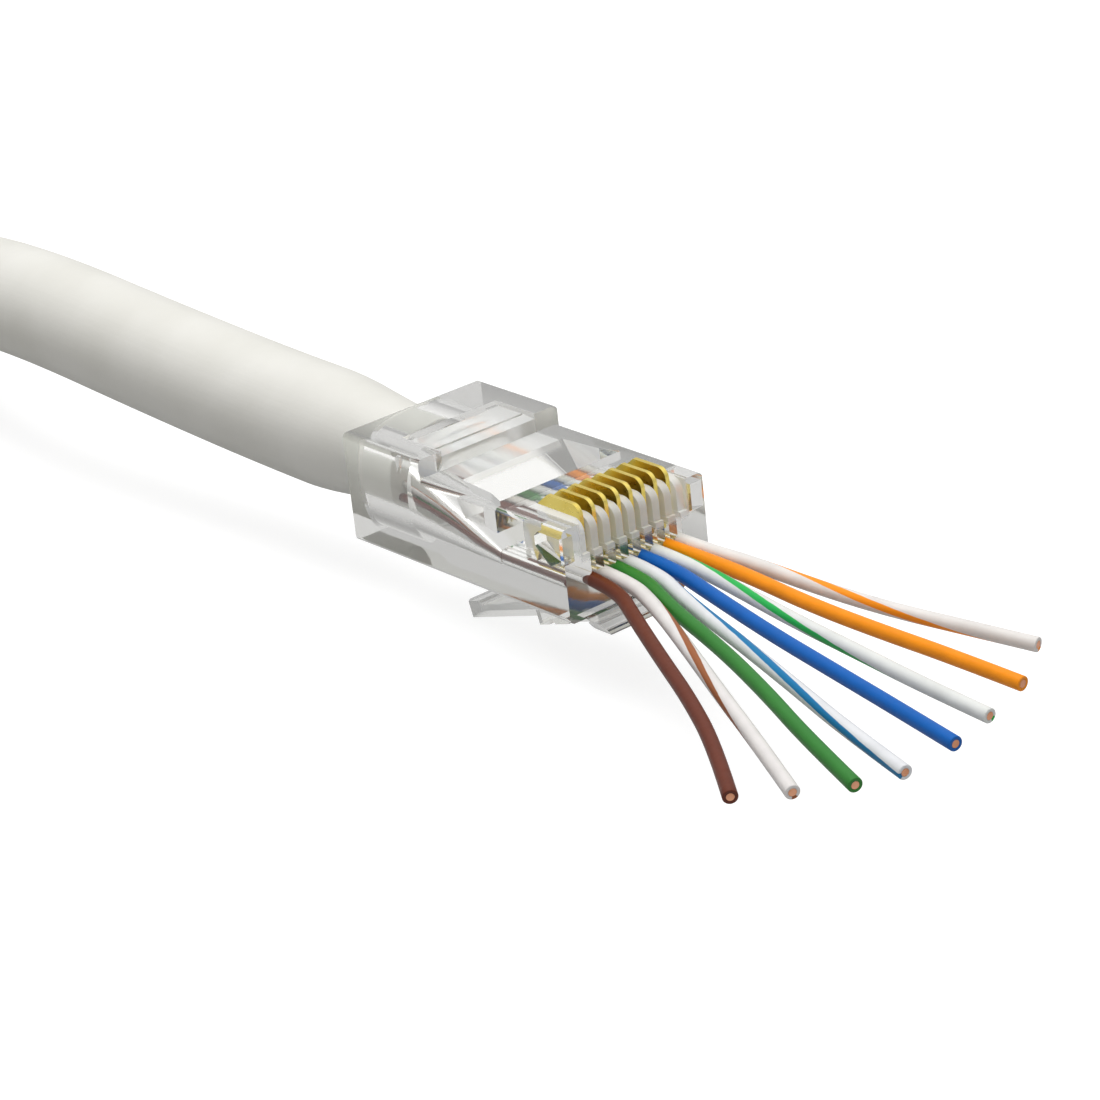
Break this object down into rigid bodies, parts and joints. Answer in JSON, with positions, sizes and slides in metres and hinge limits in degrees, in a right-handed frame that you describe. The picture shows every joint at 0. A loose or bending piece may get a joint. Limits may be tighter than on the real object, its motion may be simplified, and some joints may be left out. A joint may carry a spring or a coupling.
{
  "type": "rj45 modular plug",
  "caption": "Clear pass-through modular plug on a round data cable, with gold contacts, a springy latch and colour-coded wires left long beyond its nose.",
  "frame": {"origin": "middle of the plug's footprint, at the level of the lowest point of the latch's free end, on which the plug stands", "axes": "+X out of the nose, in the direction the plug is pushed into a jack; +Z to the contact side; +Y to the side of wire 1"},
  "size_m": [0.1929, 0.1022, 0.0158],
  "materials": {
    "clear_plastic": "clear polycarbonate, glossy",
    "contact_gold": "gold plated, bright",
    "core_copper": "bare copper, cut bright",
    "jacket": "smooth off-white jacket, satin",
    "tie": "natural nylon",
    "wire_white_orange": "white with one orange stripe insulation, satin",
    "wire_orange": "orange insulation, satin",
    "wire_white_green": "white with one green stripe insulation, satin",
    "wire_blue": "blue insulation, satin",
    "wire_white_blue": "white with one blue stripe insulation, satin",
    "wire_green": "green insulation, satin",
    "wire_white_brown": "white with one brown stripe insulation, satin",
    "wire_brown": "brown insulation, satin"
  },
  "bodies": {
    "plug": {"plug_body": "clear_plastic", "contact_1": "contact_gold", "contact_2": "contact_gold", "contact_3": "contact_gold", "contact_4": "contact_gold", "contact_5": "contact_gold", "contact_6": "contact_gold", "contact_7": "contact_gold", "contact_8": "contact_gold", "wire_1_insulation": "wire_white_orange", "wire_1_core": "core_copper", "wire_2_insulation": "wire_orange", "wire_2_core": "core_copper", "wire_3_insulation": "wire_white_green", "wire_3_core": "core_copper", "wire_4_insulation": "wire_blue", "wire_4_core": "core_copper", "wire_5_insulation": "wire_white_blue", "wire_5_core": "core_copper", "wire_6_insulation": "wire_green", "wire_6_core": "core_copper", "wire_7_insulation": "wire_white_brown", "wire_7_core": "core_copper", "wire_8_insulation": "wire_brown", "wire_8_core": "core_copper", "cable_jacket": "jacket", "cable_coil": "jacket", "coil_tie": "tie"},
    "latch": {"latch_lever": "clear_plastic"}
  },
  "joints": [
    {"name": "latch_flex", "type": "hinge", "parent": "plug", "child": "latch", "pos_m": [0.0091, 0, 0.00474], "axis": [0, 1, 0], "range_deg": [0, 16], "stiffness_Nm_per_rad": 0.5}
  ]
}
